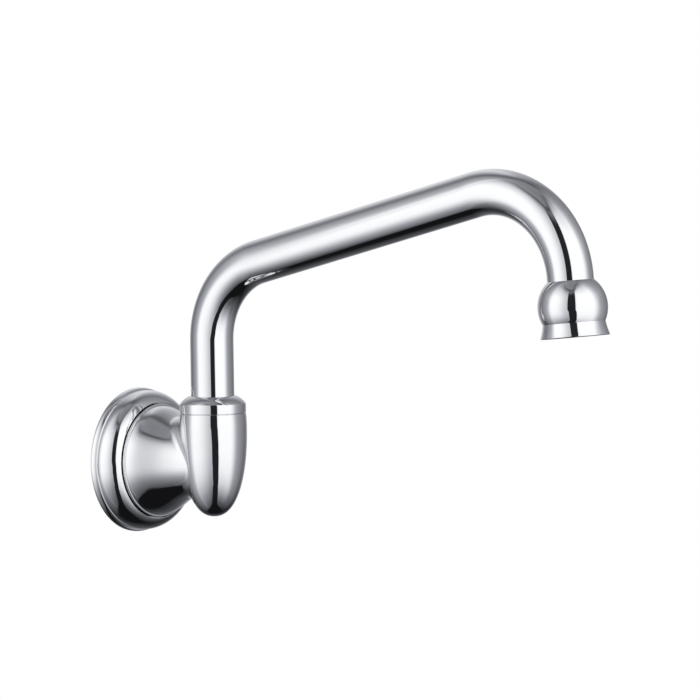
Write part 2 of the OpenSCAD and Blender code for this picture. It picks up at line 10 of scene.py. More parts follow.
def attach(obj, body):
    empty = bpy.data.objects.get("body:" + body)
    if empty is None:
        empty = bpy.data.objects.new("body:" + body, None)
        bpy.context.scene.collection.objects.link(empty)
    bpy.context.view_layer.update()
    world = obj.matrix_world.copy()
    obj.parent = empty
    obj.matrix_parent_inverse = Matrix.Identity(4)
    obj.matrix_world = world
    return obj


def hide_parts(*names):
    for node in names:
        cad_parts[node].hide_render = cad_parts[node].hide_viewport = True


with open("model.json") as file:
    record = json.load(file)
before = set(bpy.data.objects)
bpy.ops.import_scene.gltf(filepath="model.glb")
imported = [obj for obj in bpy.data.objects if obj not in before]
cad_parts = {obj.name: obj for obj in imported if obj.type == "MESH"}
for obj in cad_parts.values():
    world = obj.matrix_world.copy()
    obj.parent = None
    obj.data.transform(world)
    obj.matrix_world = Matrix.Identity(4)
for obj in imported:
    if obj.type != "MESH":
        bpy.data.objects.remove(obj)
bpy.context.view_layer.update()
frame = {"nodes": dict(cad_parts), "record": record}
NODES = frame["nodes"]
MM = 0.001

# ---------------------------------------------------------------- sizes, as in the CAD, in mm
spout_r, bore_r = 11.0, 9.8
riser_h, arm_l, arm_rise = 60.5, 220.2, math.radians(13.6)
bend_r = (41.0, 44.0)
lean = math.radians(5.0)
swivel_x, body_r, belly_z, top_draw = 50.5, 17.15, 17.7, 0.35
body_top, nose_z, nose_power, nose_fullness = 25.2, 27.2, 2.2, 0.43
base_r, waist_r, flare_l, blend = 28.3, 11.2, 17.7, 5.0
foot_r, foot_end = 29.2, 15.8
esc_h, seat_floor, back_x = 14.4, 8.9, 9.9
collar_top, collar_r = 34.0, 16.8
ball_r, bell_top, rim_s, lip_l, rim_r = 16.55, 1.8, 28.4, 6.8, 16.35
inlet_r, inlet_reach, inlet_end = 10.4775, 16.0, 22.5   # the nipple's thread, behind the wall and in the neck
collar_thread_r = 14.5

turn_1 = math.pi / 2 - arm_rise
turn_2 = math.pi / 2 + arm_rise - lean
arm_dir = np.array([math.cos(arm_rise), math.sin(arm_rise)])
out_dir = np.array([math.sin(lean), -math.cos(lean)])
corner_1 = np.array([swivel_x, collar_top + riser_h])
corner_2 = corner_1 + arm_l * arm_dir
cut_1 = bend_r[0] * math.tan(turn_1 / 2)
cut_2 = bend_r[1] * math.tan(turn_2 / 2)
bend_1_c = np.array([swivel_x + bend_r[0], corner_1[1] - cut_1])
arm_end = corner_2 - cut_2 * arm_dir
bend_2_c = arm_end + bend_r[1] * np.array([arm_dir[1], -arm_dir[0]])
outlet = corner_2 + cut_2 * out_dir

# ---------------------------------------------------------------- places of the turned parts
ABOUT_NECK = np.array(Matrix.Rotation(math.pi / 2, 4, "Y"))
ABOUT_SWIVEL = np.array(Matrix.Translation((swivel_x, 0, 0)))
ABOUT_OUTLET = np.array(Matrix.Translation((outlet[0], 0, outlet[1]))
                        @ Matrix.Rotation(math.pi - lean, 4, "Y"))


# ---------------------------------------------------------------- meshes with exact normals
class Shell:
    """A skin put together from grids of points with their exact normals, welded where they meet."""

    def __init__(self, place=None):
        self.place = np.eye(4) if place is None else place
        self.points, self.faces, self.normals = [], [], []
        self.count = 0

    def _add(self, p, faces, n):
        p = p.reshape(-1, 3) @ self.place[:3, :3].T + self.place[:3, 3]
        n = n.reshape(-1, 3) @ self.place[:3, :3].T
        self.points.append(p)
        self.faces += [[i + self.count for i in f] for f in faces]
        self.normals.append(n)
        self.count += len(p)

    def grid(self, p, n, wrap=True):
        rows, cols = p.shape[:2]
        i = np.arange(rows - 1)[:, None] * cols
        j = np.arange(cols if wrap else cols - 1)[None, :]
        k = (j + 1) % cols
        quads = np.stack([i + j, i + k, i + cols + k, i + cols + j], -1).reshape(-1, 4)
        self._add(p, quads.tolist(), n)

    def turned(self, segments, sides=192):
        """Revolves profile segments of (points, normals), each as (radius, height)."""
        a = 2 * math.pi * np.arange(sides) / sides
        c, s = np.cos(a), np.sin(a)
        for pts, nrm in segments:
            p = np.stack([pts[:, :1] * c, pts[:, :1] * s, pts[:, 1:] * np.ones(sides)], -1)
            n = np.stack([nrm[:, :1] * c, nrm[:, :1] * s, nrm[:, 1:] * np.ones(sides)], -1)
            self.grid(p, n)

    def mesh(self, name):
        p, n = np.concatenate(self.points), np.concatenate(self.normals)
        _, first, weld = np.unique(np.round(p * 2e4).astype(np.int64), axis=0,
                                   return_index=True, return_inverse=True)
        weld = weld.ravel()
        verts = p[first] * MM
        faces, loop_normals = [], []
        for f in self.faces:
            ids = [int(weld[i]) for i in f]
            keep = [k for k in range(len(f)) if ids[k] != ids[k - 1]]
            if len(keep) < 3 or len({ids[k] for k in keep}) < 3:
                continue
            q = [verts[ids[k]] for k in keep]
            area = sum((np.cross(q[k] - q[0], q[k + 1] - q[0]) for k in range(1, len(q) - 1)), np.zeros(3))
            if np.dot(area, sum(n[f[k]] for k in keep)) < 0:
                keep.reverse()
            faces.append([ids[k] for k in keep])
            loop_normals += [n[f[k]] for k in keep]
        me = bpy.data.meshes.new(name)
        me.from_pydata(verts.tolist(), [], faces)
        me.polygons.foreach_set("use_smooth", [True] * len(faces))
        me.update()
        ln = np.array(loop_normals)
        ln /= np.maximum(np.linalg.norm(ln, axis=1, keepdims=True), 1e-9)
        me.normals_split_custom_set(ln.tolist())
        return me


def arc(c, r, a0, a1, steps=16):
    """Arc of a profile: counter-clockwise is convex, clockwise hollow. Angles in radians."""
    a = np.linspace(a0, a1, steps + 1)
    d = np.stack([np.cos(a), np.sin(a)], -1)
    return [(np.array(c) + r * d, d if a1 > a0 else -d)]


def line(*corners):
    """Straight runs of a profile through (radius, height[, rounding]), metal on the left."""
    pts = [np.array(c[:2], float) for c in corners]
    rounds = [c[2] if len(c) > 2 else 0.0 for c in corners]
    out, start = [], pts[0]
    for k in range(1, len(pts)):
        p, last = pts[k], k == len(pts) - 1
        d = (p - pts[k - 1]) / np.linalg.norm(p - pts[k - 1])
        normal = np.array([d[1], -d[0]])
        if last or rounds[k] == 0:
            out.append((np.array([start, p]), np.array([normal, normal])))
            start = p
            continue
        e = (pts[k + 1] - p) / np.linalg.norm(pts[k + 1] - p)
        turn = math.atan2(d[0] * e[1] - d[1] * e[0], float(d @ e))
        back = rounds[k] * math.tan(abs(turn) / 2)
        stop, go = p - back * d, p + back * e
        out.append((np.array([start, stop]), np.array([normal, normal])))
        side = 1 if turn > 0 else -1
        c = stop - side * rounds[k] * normal
        a0 = math.atan2(*(side * normal)[::-1])
        out += arc(c, rounds[k], a0, a0 + turn, 6)
        start = go
    return out


def angle(c, p):
    """Direction of a point of a profile seen from a centre."""
    return math.atan2(p[1] - c[1], p[0] - c[0])


# ---------------------------------------------------------------- materials
def shader(name, colour, metallic, rough, **sockets):
    """A material with its node tree and its surface shader."""
    m = bpy.data.materials.new(name)
    m.use_nodes = True
    t = m.node_tree
    b = t.nodes["Principled BSDF"]
    b.inputs["Base Color"].default_value = (*colour, 1)
    b.inputs["Metallic"].default_value = metallic
    b.inputs["Roughness"].default_value = rough
    for key, value in sockets.items():
        b.inputs[key.replace("_", " ")].default_value = value
    m.diffuse_color = (*colour, 1)
    return m, t, b


def noise(t, scale, detail, stretch=None):
    """Noise in the object's own coordinates, in which one unit is a metre."""
    co = t.nodes.new("ShaderNodeTexCoord")
    out = co.outputs["Object"]
    if stretch:
        mp = t.nodes.new("ShaderNodeMapping")
        mp.inputs["Scale"].default_value = stretch
        t.links.new(out, mp.inputs["Vector"])
        out = mp.outputs["Vector"]
    nz = t.nodes.new("ShaderNodeTexNoise")
    nz.inputs["Scale"].default_value = scale
    nz.inputs["Detail"].default_value = detail
    t.links.new(out, nz.inputs["Vector"])
    return nz.outputs["Fac"]


def spread(t, value, lo, hi, a=0.3, b=0.7):
    """Maps the part of a value from a to b to the range lo to hi."""
    mr = t.nodes.new("ShaderNodeMapRange")
    for key, v in (("From Min", a), ("From Max", b), ("To Min", lo), ("To Max", hi)):
        mr.inputs[key].default_value = v
    t.links.new(value, mr.inputs["Value"])
    return mr.outputs["Result"]


def tint(t, value, dark, light, a=0.3, b=0.7):
    """Mixes two colours by a value."""
    ramp = t.nodes.new("ShaderNodeValToRGB")
    ramp.color_ramp.elements[0].position, ramp.color_ramp.elements[1].position = a, b
    ramp.color_ramp.elements[0].color = (*dark, 1)
    ramp.color_ramp.elements[1].color = (*light, 1)
    t.links.new(value, ramp.inputs["Fac"])
    return ramp.outputs["Color"]


def bump(t, b, value, strength, distance):
    """Fine relief of a material, from a value."""
    bp = t.nodes.new("ShaderNodeBump")
    bp.inputs["Strength"].default_value = strength
    bp.inputs["Distance"].default_value = distance
    t.links.new(value, bp.inputs["Height"])
    t.links.new(bp.outputs["Normal"], b.inputs["Normal"])


def chrome():
    """Polished and plated: a mirror with faint buffing haze."""
    m, t, b = shader("chrome", (0.82, 0.825, 0.835), 1.0, 0.035)
    haze = noise(t, 90, 3)
    t.links.new(spread(t, haze, 0.022, 0.05), b.inputs["Roughness"])
    return m


def brass():
    m, t, b = shader("brass", (0.72, 0.50, 0.20), 1.0, 0.28)
    n = noise(t, 60, 5)
    t.links.new(tint(t, n, (0.60, 0.40, 0.15), (0.78, 0.56, 0.24)), b.inputs["Base Color"])
    rings = noise(t, 900, 2, (1, 0.02, 0.02))
    t.links.new(spread(t, rings, 0.2, 0.38), b.inputs["Roughness"])
    bump(t, b, rings, 0.25, 0.00005)
    return m


def rubber(name, colour, rough, grain, depth):
    m, t, b = shader(name, colour, 0.0, rough)
    n = noise(t, grain, 6)
    dark = tuple(c * 0.75 for c in colour)
    light = tuple(min(1, c * 1.35) for c in colour)
    t.links.new(tint(t, n, dark, light), b.inputs["Base Color"])
    t.links.new(spread(t, n, rough - 0.08, rough + 0.08), b.inputs["Roughness"])
    bump(t, b, n, 0.4, depth)
    return m


def plastic(name, colour, rough):
    m, t, b = shader(name, colour, 0.0, rough, Subsurface_Weight=0.1, Subsurface_Scale=0.002)
    n = noise(t, 500, 3)
    t.links.new(tint(t, n, tuple(c * 0.96 for c in colour), colour), b.inputs["Base Color"])
    t.links.new(spread(t, n, rough - 0.05, rough + 0.05), b.inputs["Roughness"])
    bump(t, b, n, 0.15, 0.00003)
    return m


def steel():
    m, t, b = shader("steel", (0.58, 0.58, 0.57), 1.0, 0.3)
    n = noise(t, 1500, 2, (1, 1, 0.05))
    t.links.new(spread(t, n, 0.22, 0.42), b.inputs["Roughness"])
    bump(t, b, n, 0.2, 0.00002)
    return m


MATERIALS = {
    "chrome": chrome(),
    "brass": brass(),
    "black_rubber": rubber("black_rubber", (0.022, 0.022, 0.023), 0.62, 700, 0.00005),
    "foam": rubber("foam", (0.055, 0.056, 0.06), 0.9, 1500, 0.0003),
    "acetal": plastic("acetal", (0.80, 0.78, 0.72), 0.35),
    "white_plastic": plastic("white_plastic", (0.82, 0.83, 0.83), 0.38),
    "steel": steel(),
}
slot_of = {s["node"]: s["material_slot"] for s in frame["record"]["subparts"]}
for name, ob in NODES.items():
    for k in range(max(1, len(ob.material_slots))):
        if not ob.material_slots:
            ob.data.materials.append(None)
        ob.material_slots[k].material = MATERIALS[slot_of[name]]



def piece(name, shell, body, node):
    """A visible piece that rides on a body and stands in for a node of the CAD, with that node's material."""
    ob = bpy.data.objects.new(name, shell.mesh(name))
    bpy.context.scene.collection.objects.link(ob)
    ob.data.materials.append(MATERIALS[slot_of[node]])
    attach(ob, body)
    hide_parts(node)


# ---------------------------------------------------------------- cast body
def bullet(z):
    """Radius of the bullet about the swivel axis at a height."""
    t = np.clip((belly_z - z) / (belly_z + nose_z), 0, 1)
    top = np.maximum(0, (z - belly_z) / (body_top - belly_z))
    return body_r * (1 - t ** nose_power) ** nose_fullness - top_draw * top ** 2


def neck(x):
    """Radius of the flared neck about its own axis, by the distance from the wall."""
    return waist_r + (base_r - waist_r) / (1 + (np.maximum(0, x - esc_h) / flare_l) ** 2)


def casting(p):
    """Distance outside the blended casting: a ball of radius blend rolled between bullet and neck."""
    x, y, z = p[..., 0], p[..., 1], p[..., 2]
    qx = x - swivel_x
    rb, rn = np.hypot(qx, y), np.hypot(y, z)
    sb = (bullet(z + 0.05) - bullet(z - 0.05)) / 0.1
    sn = (neck(x + 0.05) - neck(x - 0.05)) / 0.1
    kb, kn = np.sqrt(1 + sb * sb), np.sqrt(1 + sn * sn)
    d1, d2 = (rb - bullet(z)) / kb, (rn - neck(x)) / kn
    n1 = np.stack([qx, y, -rb * sb], -1) / np.maximum(0.01, rb * kb)[..., None]
    n2 = np.stack([-rn * sn, y, z], -1) / np.maximum(0.01, rn * kn)[..., None]
    c = (n1 * n2).sum(-1)
    s2 = 1 - c * c
    u, v = blend - d1, blend - d2
    a, b = u - v * c, v - u * c
    plain = (s2 < 1e-4) | (a <= 0) | (b <= 0)
    rolled = blend - np.sqrt(np.maximum(0, (u * u + v * v - 2 * u * v * c) / np.maximum(s2, 1e-9)))
    return np.where(x > swivel_x, d1, np.where(plain, np.minimum(d1, d2), rolled))


def gradient(p, h=0.02):
    """Outward normals of the casting's skin."""
    g = np.stack([casting(p + h * e) - casting(p - h * e) for e in np.eye(3)], -1)
    return g / np.maximum(np.linalg.norm(g, axis=-1, keepdims=True), 1e-9)


def cast_body():
    """The casting's skin, found along rays from a point inside it, its rounded top edge and its hollows."""
    rings, sides = 170, 240
    ray_x = swivel_x - 8.5
    edge = 0.3                              # rounding of the top edge
    cut_z = body_top - edge
    front_x = 26                            # the top edge lies beyond this, the neck before it
    thread_z, socket_r, socket_z = 16, 12, -8
    neck_wall, hollow_x = 3.2, 14
    water_r, water_x, pipe_r = 7, 36, 10.53
    foot_top_r = float(neck(np.array(foot_end)))
    first = math.atan2(foot_top_r, ray_x - foot_end)
    a = first + (math.pi - first) * np.arange(rings) / rings
    b = 2 * math.pi * np.arange(sides) / sides
    a, b = np.meshgrid(a, b, indexing="ij")
    d = np.stack([-np.cos(a), np.sin(a) * np.cos(b), np.sin(a) * np.sin(b)], -1)
    start = np.array([ray_x, 0, 0])
    far = np.full(a.shape, swivel_x)
    behind = d[..., 0] < -1e-9
    far = np.where(behind, np.minimum(far, (foot_end - ray_x) / np.where(behind, d[..., 0], -1)), far)
    above = (d[..., 2] > 1e-9)
    rise = np.where(above, (body_top + 2) / np.where(above, d[..., 2], 1), 1e9)
    far = np.where(ray_x + d[..., 0] * rise > swivel_x - body_r - 3, np.minimum(far, rise), far)
    lo, hi = np.ones(a.shape), far.copy()
    for _ in range(30):
        mid = (lo + hi) / 2
        inside = casting(start + mid[..., None] * d) < 0
        lo, hi = np.where(inside, mid, lo), np.where(inside, hi, mid)
    t = (lo + hi) / 2
    t[0] = far[0]
    p = start + t[..., None] * d
    tip_t = bisect_along(start, np.array([1.0, 0, 0]))
    bm = bmesh.new()
    vs = [bm.verts.new(q) for q in p.reshape(-1, 3)]
    tip = bm.verts.new(start + np.array([tip_t, 0, 0]))
    for i in range(rings - 1):
        for j in range(sides):
            k = (j + 1) % sides
            here, ahead = i * sides, (i + 1) * sides
            bm.faces.new([vs[here + j], vs[here + k], vs[ahead + k], vs[ahead + j]])
    for j in range(sides):
        bm.faces.new([vs[(rings - 1) * sides + j], vs[(rings - 1) * sides + (j + 1) % sides], tip])
    front = [f for f in bm.faces
             if f.calc_center_median().x > front_x and max(v.co.z for v in f.verts) > cut_z - 3]
    geom = list({v for f in front for v in f.verts}) + list({e for f in front for e in f.edges}) + front
    bmesh.ops.bisect_plane(bm, geom=geom, plane_co=(0, 0, cut_z), plane_no=(0, 0, 1), dist=1e-5)
    gone = [f for f in bm.faces
            if f.calc_center_median().z > cut_z + 1e-6 and f.calc_center_median().x > front_x]
    bmesh.ops.delete(bm, geom=gone, context="FACES")
    bm.verts.index_update()
    verts = np.array([v.co for v in bm.verts], float)
    faces = [[v.index for v in f.verts] for f in bm.faces]
    bm.free()
    used = sorted({i for f in faces for i in f})
    rim = np.array([verts[i] for i in used if abs(verts[i, 2] - cut_z) < 1e-4 and verts[i, 0] > front_x])
    rim = rim[np.arctan2(rim[:, 1], rim[:, 0] - swivel_x).argsort()]
    out = np.stack([rim[:, 0] - swivel_x, rim[:, 1]], -1)
    shell = Shell()
    normals = gradient(verts)
    shell._add(verts, faces, normals)
    flat = gradient(rim)
    flat[:, 2] = 0
    flat /= np.linalg.norm(flat, axis=1, keepdims=True)
    rows, nrm = [], []
    for q in np.linspace(0, math.pi / 2, 6):
        rows.append(rim - flat * edge * (1 - math.cos(q)) + np.array([0, 0, edge * math.sin(q)]))
        nrm.append(flat * math.cos(q) + np.array([0, 0, math.sin(q)]))
    shell.grid(np.array(rows), np.array(nrm))
    turn = out / np.linalg.norm(out, axis=1, keepdims=True)

    def ring(r, z):
        return np.column_stack([swivel_x + turn[:, 0] * r, turn[:, 1] * r, np.full(len(turn), z)])

    up = np.tile([0.0, 0, 1], (len(rim), 1))
    inward = np.column_stack([-turn, np.zeros(len(turn))])
    shell.grid(np.array([rows[-1], ring(collar_thread_r, body_top)]), np.array([up, up]))
    shell.grid(np.array([ring(collar_thread_r, body_top), ring(collar_thread_r, thread_z)]),
               np.array([inward, inward]))
    shell.grid(np.array([ring(collar_thread_r, thread_z), ring(socket_r, thread_z)]), np.array([up, up]))
    shell.grid(np.array([ring(socket_r, thread_z), ring(socket_r, socket_z)]), np.array([inward, inward]))
    rows, nrm = [], []
    for q in np.linspace(0, math.pi / 2, 10):
        rows.append(ring(socket_r * math.cos(q), socket_z - socket_r * math.sin(q)))
        nrm.append(inward * math.cos(q) + up * math.sin(q))
    shell.grid(np.array(rows), np.array(nrm))
    shell.place = ABOUT_NECK
    hollow = base_r - neck_wall
    deep = float(neck(np.array(inlet_end))) - neck_wall
    shell.turned(line((0, water_x), (water_r, water_x), (water_r, inlet_end), (pipe_r, inlet_end),
                      (pipe_r, back_x), (collar_thread_r, back_x), (collar_thread_r, inlet_end),
                      (deep, inlet_end), (hollow, hollow_x), (hollow, back_x), (foot_r, back_x, 0.2),
                      (foot_r, foot_end, 0.6), (foot_top_r, foot_end)), sides)
    return shell


def bisect_along(start, d):
    """How far the casting's skin is from a point inside it, along d."""
    lo, hi = 1.0, swivel_x
    for _ in range(40):
        mid = (lo + hi) / 2
        if casting((start + mid * d)[None])[0] < 0:
            lo = mid
        else:
            hi = mid
    return (lo + hi) / 2


piece("cast_body", cast_body(), "housing", "body")


# ---------------------------------------------------------------- escutcheon
def escutcheon():
    """The stepped wall plate: rim, bowed step, the seat of the neck's foot, and the hollow behind."""
    disc_r, edge_t, rim_l, rim_round, crest, bow, wall = 37.1, 0.8, 2.7, 3.5, 35.9, 10.2, 1.5
    foam_t, foam_w = 1.4, 2.8
    mouth = foot_r + 0.5
    land = mouth + 0.3
    bow_c = (crest - bow, esc_h - math.sqrt(bow ** 2 - (land - crest + bow) ** 2))
    round_c = (disc_r - rim_round, edge_t)
    crease = (bow_c[0] + math.sqrt(bow ** 2 - (rim_l - bow_c[1]) ** 2), rim_l)
    rim_a = math.asin((rim_l - edge_t) / rim_round)
    seat = mouth + wall
    gasket_r = disc_r - foam_w
    in_bow = bow - wall
    foot = (bow_c[0] + math.sqrt(in_bow ** 2 - (foam_t - bow_c[1]) ** 2), foam_t)
    head = (seat, bow_c[1] + math.sqrt(in_bow ** 2 - (seat - bow_c[0]) ** 2))
    web = seat_floor - wall
    hole = inlet_r + 1
    s = line((gasket_r, 0), (disc_r, 0, 0.15), (disc_r, edge_t))
    s += arc(round_c, rim_round, 0, rim_a, 14)
    s += line((round_c[0] + rim_round * math.cos(rim_a), rim_l), crease)
    s += arc(bow_c, bow, angle(bow_c, crease), angle(bow_c, (land, esc_h)), 40)
    s += line((land, esc_h), (mouth, esc_h, 0.12), (mouth, seat_floor), (hole, seat_floor, 0.2),
              (hole, web, 0.2), (seat, web), head)
    s += arc(bow_c, in_bow, angle(bow_c, head), angle(bow_c, foot), 24)
    s += line(foot, (gasket_r, foam_t), (gasket_r, 0))
    shell = Shell(ABOUT_NECK)
    shell.turned(s, 240)
    return shell


piece("wall_plate", escutcheon(), "housing", "escutcheon")


# ---------------------------------------------------------------- collar nut
def collar():
    """The domed nut: straight side over the seam, rounded edge, dome, and the tube's mouth."""
    dome_r, edge, chamfer, crown = 11.7, 1.0, 0.45, 12.05
    mouth = spout_r + 0.15
    dome_c = (collar_r - 9.6, 0)
    dome_c = (dome_c[0], collar_top - math.sqrt(dome_r ** 2 - (crown - dome_c[0]) ** 2))
    edge_r = collar_r - edge
    edge_z = dome_c[1] + math.sqrt((dome_r - edge) ** 2 - (edge_r - dome_c[0]) ** 2)
    a = math.atan2(edge_z - dome_c[1], edge_r - dome_c[0])
    skirt, ceiling, bore = 19.0, 31.4, 12.98
    s = line((bore, skirt), (14.45, skirt), (14.45, body_top), (collar_r - chamfer, body_top),
             (collar_r, body_top + chamfer, 0.15), (collar_r, edge_z))
    s += arc((edge_r, edge_z), edge, 0, a, 12)
    s += arc(dome_c, dome_r, a, angle(dome_c, (crown, collar_top)), 24)
    s += line((crown, collar_top), (mouth, collar_top, 0.25), (mouth, ceiling), (bore, ceiling), (bore, skirt))
    shell = Shell(ABOUT_SWIVEL)
    shell.turned(s, 240)
    return shell


piece("collar_ring", collar(), "housing", "collar_nut")


# ---------------------------------------------------------------- spout tube
def tube():
    """The bent tube, as rings along the riser, the first bend, the arm, the second bend and the tail."""
    foot_z, end_s = 19.95, 8.0
    places = [((swivel_x, foot_z), math.pi / 2)]
    for k in range(61):
        q = turn_1 * k / 60
        places.append((bend_1_c + bend_r[0] * np.array([-math.cos(q), math.sin(q)]), math.pi / 2 - q))
    for k in range(81):
        q = math.pi / 2 + arm_rise - turn_2 * k / 80
        places.append((bend_2_c + bend_r[1] * np.array([math.cos(q), math.sin(q)]), q - math.pi / 2))
    places.append((outlet + end_s * out_dir, lean - math.pi / 2))
    a = 2 * math.pi * np.arange(144) / 144
    shell = Shell()
    grids = []
    for r, side in ((spout_r, 1), (bore_r, -1)):
        p, n = [], []
        for (x, z), q in places:
            across = np.array([-math.sin(q), 0, math.cos(q)])
            d = np.cos(a)[:, None] * across + np.sin(a)[:, None] * np.array([0, 1.0, 0])
            p.append(np.array([x, 0, z]) + r * d)
            n.append(side * d)
        grids.append(np.array(p))
        shell.grid(np.array(p), np.array(n))
    for row, sign in ((0, -1), (-1, 1)):
        q = places[row][1]
        n = np.tile(sign * np.array([math.cos(q), 0, math.sin(q)]), (2, len(a), 1))
        shell.grid(np.array([grids[0][row], grids[1][row]]), n)
    return shell


piece("spout", tube(), "spout", "spout_tube")


# ---------------------------------------------------------------- outlet bell
def bell():
    """Ball and flared lip, as one turned piece with the aerator's bore."""
    ball_s = math.sqrt(ball_r ** 2 - spout_r ** 2) + bell_top
    crease_s = rim_s - lip_l
    crease_r = math.sqrt(ball_r ** 2 - (crease_s - ball_s) ** 2)
    round_r = 0.5
    rim_c = (rim_r - round_r, rim_s - round_r)
    lip = (rim_r, rim_c[1])
    hollow_r = 30.0
    m = np.array([(crease_r + lip[0]) / 2, (crease_s + lip[1]) / 2])
    d = np.array([lip[0] - crease_r, lip[1] - crease_s])
    half = np.linalg.norm(d) / 2
    d /= np.linalg.norm(d)
    hollow_c = m + math.sqrt(hollow_r ** 2 - half ** 2) * np.array([d[1], -d[0]])
    hole = spout_r + 0.03
    top = (hole, ball_s - math.sqrt(ball_r ** 2 - hole ** 2))
    flare_s, bore, stop_s, socket_s = 22.2, 12, 9.2, 8.0
    a0, a1 = angle(hollow_c, (crease_r, crease_s)), angle(hollow_c, lip)
    if a1 > a0:
        a1 -= 2 * math.pi
    s = arc((0, ball_s), ball_r, angle((0, ball_s), top), angle((0, ball_s), (crease_r, crease_s)), 60)
    s += arc(hollow_c, hollow_r, a0, a1, 20)
    s += arc(rim_c, round_r, 0, math.pi, 12)
    s += line((rim_r - 1, rim_c[1]), (bore, flare_s), (bore, stop_s), (bore_r, stop_s), (bore_r, socket_s),
              (hole, socket_s), top)
    shell = Shell(ABOUT_OUTLET)
    shell.turned(s, 240)
    return shell


piece("outlet_bell_skin", bell(), "spout", "outlet_bell")


# ---------------------------------------------------------------- inlet nipple with its thread
def nipple():
    """The nipple with its pipe thread behind the wall and the hexagonal key socket in its end."""
    pitch, depth, cham = 1.814, 1.162, 1.0
    cols = 120
    x = np.arange(-inlet_reach, 0.0001, 0.1)
    a = 2 * math.pi * np.arange(cols) / cols

    def radius(x, a):
        phase = x / pitch - a / (2 * math.pi)
        ridge = 0.5 + 0.5 * np.cos(2 * math.pi * phase)
        ridge = np.clip(1.25 * ridge - 0.125, 0, 1)
        fade = np.clip((-0.6 - x) / 1.6, 0, 1)
        r = inlet_r - depth * (1 - ridge) * fade
        return np.minimum(r, inlet_r - cham + (x + inlet_reach))

    def ring(r, z):
        return np.stack([r * np.cos(a), r * np.sin(a), np.full(cols, float(z))], -1)

    xx, aa = np.meshgrid(x, a, indexing="ij")
    r = radius(xx, aa)
    h = 0.01
    dx = (radius(xx + h, aa) - radius(xx - h, aa)) / (2 * h)
    da = (radius(xx, aa + h) - radius(xx, aa - h)) / (2 * h) / r
    c, s = np.cos(aa), np.sin(aa)
    p = np.stack([r * c, r * s, xx], -1)
    n = np.stack([c + da * s, s - da * c, -dx], -1)
    shell = Shell(ABOUT_NECK)
    shell.grid(p, n)
    bore, key_r, key_x = 6.0, 12.5 / 2, 8 - inlet_reach
    first = np.stack([p[-1][:, 0], p[-1][:, 1], np.zeros(cols)], -1)
    waist = inlet_r - 1.4
    wall_n = np.tile([0.0, 0, 1], (2, cols, 1))
    shell.grid(np.array([first, ring(waist, 0)]), wall_n)
    rest = line((waist, 0), (waist, seat_floor), (inlet_r, seat_floor), (inlet_r, inlet_end - cham),
                (inlet_r - cham, inlet_end), (bore, inlet_end), (bore, key_x))
    shell.turned(rest, cols)
    # hexagonal key socket: a six-sided ring of points that meets the round bore at its floor
    hex_r = key_r / np.cos(np.mod(a, math.pi / 3) - math.pi / 6)
    side = np.floor(a / (math.pi / 3)) * math.pi / 3 + math.pi / 6
    inward = -np.stack([np.cos(side), np.sin(side), np.zeros(cols)], -1)
    back_n = np.tile([0.0, 0, -1], (2, cols, 1))
    shell.grid(np.array([ring(bore, key_x), ring(hex_r, key_x)]), back_n)
    shell.grid(np.array([ring(hex_r, key_x), ring(hex_r, -inlet_reach)]), np.array([inward, inward]))
    shell.grid(np.array([ring(hex_r, -inlet_reach), p[0]]), back_n)
    return shell


piece("threaded_nipple", nipple(), "housing", "inlet_nipple")

# ---------------------------------------------------------------- camera
az, el, roll = math.radians(39.7), math.radians(3.4), math.radians(0.93)
target = Vector((0.0505, 0, 0.034))         # the collar's centre ...
target_px = (212.7, 395.9)                  # ... and its place in the picture
picture, distance, focal = 700, 1.770, 3488.0
back = Vector((math.sin(az) * math.cos(el), -math.cos(az) * math.cos(el), math.sin(el)))
right = Vector((math.cos(az), math.sin(az), 0))
upward = back.cross(right)
axes = Matrix((right, upward, back)).transposed()
ray = Vector(((target_px[0] - picture / 2) / focal, (picture / 2 - target_px[1]) / focal, -1)).normalized()
to_ray = Vector((0, 0, -1)).rotation_difference(ray).to_matrix()
spin = Matrix.Rotation(roll, 3, "Z")
camera = bpy.data.objects.new("camera", bpy.data.cameras.new("camera"))
bpy.context.scene.collection.objects.link(camera)
camera.data.sensor_width = 36
camera.data.lens = focal / picture * camera.data.sensor_width
camera.data.clip_start, camera.data.clip_end = 0.05, 50
facing = axes @ (to_ray @ spin).transposed()
camera.matrix_world = Matrix.Translation(target + distance * back) @ facing.to_4x4()
bpy.context.scene.camera = camera
bpy.context.scene.view_settings.view_transform = "Standard"

# ---------------------------------------------------------------- studio
# A light tent, in (right, towards the camera) metres level with the floor and centred on the origin.
across, toward = np.array([right.x, right.y]), np.array([math.sin(az), -math.cos(az)])
FLOOR_Z, TOP_Z = -0.6, 1.5
heart = np.array([0.105, 0.087, 0.05])

CARD = bpy.data.materials.new("studio_card")
CARD.use_nodes = True
t = CARD.node_tree
t.nodes.clear()
glow, value, out = (t.nodes.new("ShaderNode" + k) for k in ("Emission", "Attribute", "OutputMaterial"))
value.attribute_name = "level"
t.links.new(value.outputs["Color"], glow.inputs["Color"])
t.links.new(glow.outputs["Emission"], out.inputs["Surface"])


